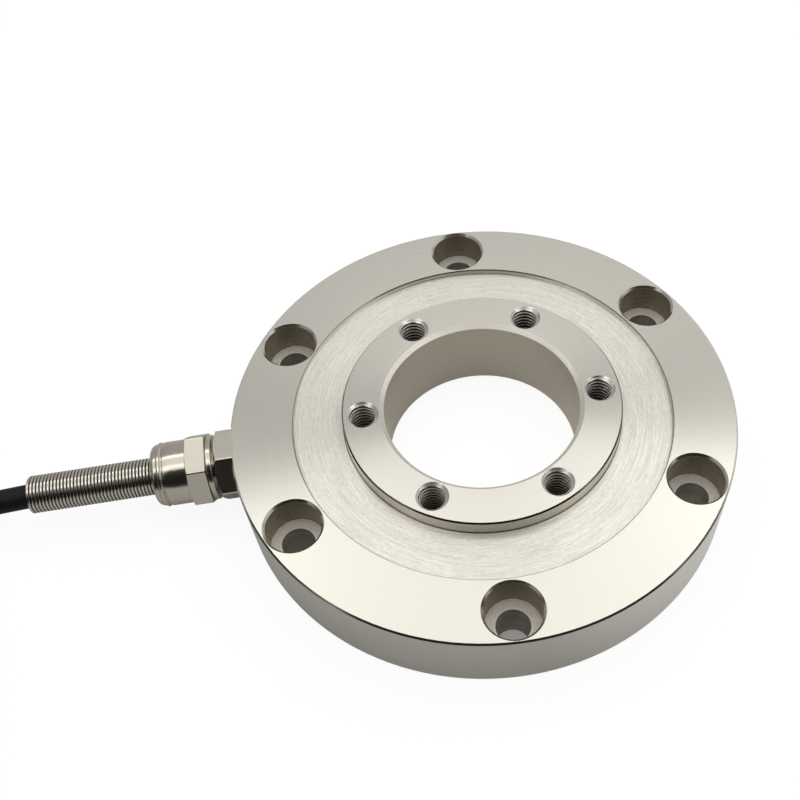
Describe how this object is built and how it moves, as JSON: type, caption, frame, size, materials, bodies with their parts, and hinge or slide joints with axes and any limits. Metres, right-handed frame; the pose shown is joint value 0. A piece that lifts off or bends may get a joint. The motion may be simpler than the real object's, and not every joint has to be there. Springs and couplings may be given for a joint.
{
  "type": "ring load cell",
  "caption": "Flange-type ring load cell with a raised tapped hub, a recessed membrane, a counterbored bolt flange, a through bore and a side cable gland with a spring and coiled cable.",
  "frame": {"origin": "centre of the flange's mounting face, on the ring's axis", "axes": "+Z along the ring's axis, towards the loading face; the cable gland points along -X"},
  "size_m": [0.2382, 0.1265, 0.0263],
  "materials": {
    "nickel_plated_steel": "turned, nickel plated, fine circular tool marks",
    "cover_steel": "rolled stainless, satin",
    "gland_metal": "turned brass, bright nickel plate",
    "spring_steel": "drawn wire, nickel plated",
    "cable_jacket": "extruded jacket, matt",
    "tie_nylon": "moulded nylon",
    "seal_rubber": "moulded rubber",
    "gauge_foil": "polyimide film with etched foil",
    "circuit_board": "solder mask on glass laminate",
    "adhesive_pad": "foam adhesive",
    "resistor_body": "ceramic chip",
    "core_red": "extruded insulation",
    "core_black": "extruded insulation",
    "core_green": "extruded insulation",
    "core_white": "extruded insulation",
    "tinned_braid": "tinned copper braid, twisted"
  },
  "bodies": {
    "root": {"board_pad": "adhesive_pad", "cable": "cable_jacket", "cable_coil": "cable_jacket", "cable_entry": "cable_jacket", "cable_tail": "cable_jacket", "coil_tie": "tie_nylon", "core_black": "core_black", "core_green": "core_green", "core_red": "core_red", "core_white": "core_white", "cover_ring": "cover_steel", "gauge_inner_1": "gauge_foil", "gauge_inner_2": "gauge_foil", "gauge_inner_3": "gauge_foil", "gauge_inner_4": "gauge_foil", "gauge_outer_1": "gauge_foil", "gauge_outer_2": "gauge_foil", "gauge_outer_3": "gauge_foil", "gauge_outer_4": "gauge_foil", "gland_body": "gland_metal", "gland_nut": "gland_metal", "gland_seal": "seal_rubber", "gland_washer": "gland_metal", "lead_black": "core_black", "lead_green": "core_green", "lead_red": "core_red", "lead_shield": "tinned_braid", "lead_white": "core_white", "sensing_body": "nickel_plated_steel", "strain_relief_spring": "spring_steel", "terminal_board": "circuit_board", "trim_resistor_1": "resistor_body", "trim_resistor_2": "resistor_body", "trim_resistor_3": "resistor_body"}
  },
  "joints": []
}
